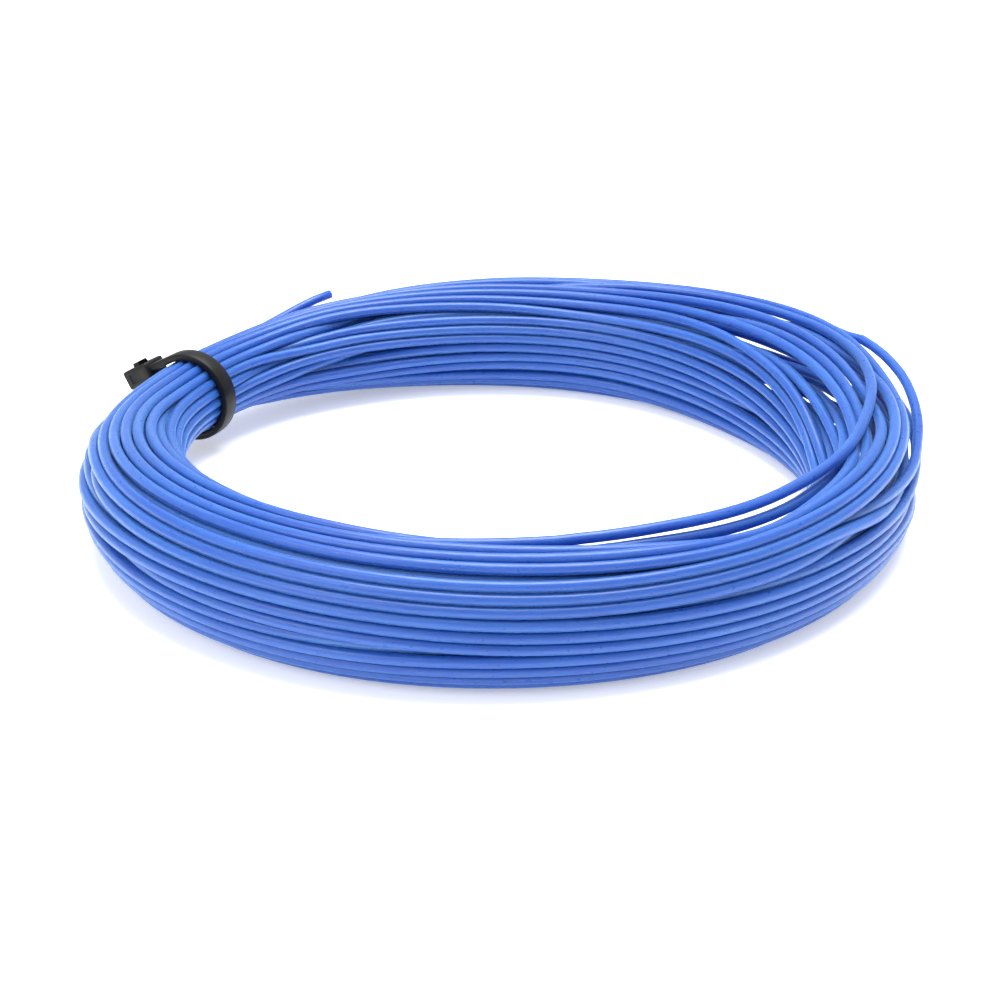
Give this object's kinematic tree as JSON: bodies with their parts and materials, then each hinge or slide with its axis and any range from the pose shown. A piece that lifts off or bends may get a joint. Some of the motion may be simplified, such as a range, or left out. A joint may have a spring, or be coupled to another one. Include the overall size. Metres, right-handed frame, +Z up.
{
  "type": "coil of racket string",
  "caption": "Coil of translucent blue monofilament racket string, bound at one place by a small black cable tie.",
  "frame": {"origin": "on the surface that the coil lies on, under the middle of its overall box", "axes": "+Z up, along the coil's axis; +X and +Y in the coil's plane, with the tie at 156 degrees from +X towards +Y"},
  "size_m": [0.1036, 0.1046, 0.0178],
  "materials": {
    "string": "translucent extruded polyester, soft gloss",
    "tie": "moulded black nylon, satin"
  },
  "bodies": {
    "coil": {"string_coil": "string", "string_free_end": "string"},
    "tie": {"tie_strap": "tie", "tie_head": "tie"},
    "pawl": {"tie_pawl": "tie"}
  },
  "joints": [
    {"name": "tie_turn", "type": "hinge", "parent": "coil", "child": "tie", "pos_m": [-0.04223, 0.01801, 0.0074], "axis": [-0.4067, -0.9135, 0], "range_deg": [-200, 55]},
    {"name": "pawl_flex", "type": "hinge", "parent": "tie", "child": "pawl", "pos_m": [-0.0476, 0.0204, 0.00903], "axis": [0.4067, 0.9135, 0], "range_deg": [0, 10], "stiffness_Nm_per_rad": 0.01}
  ]
}
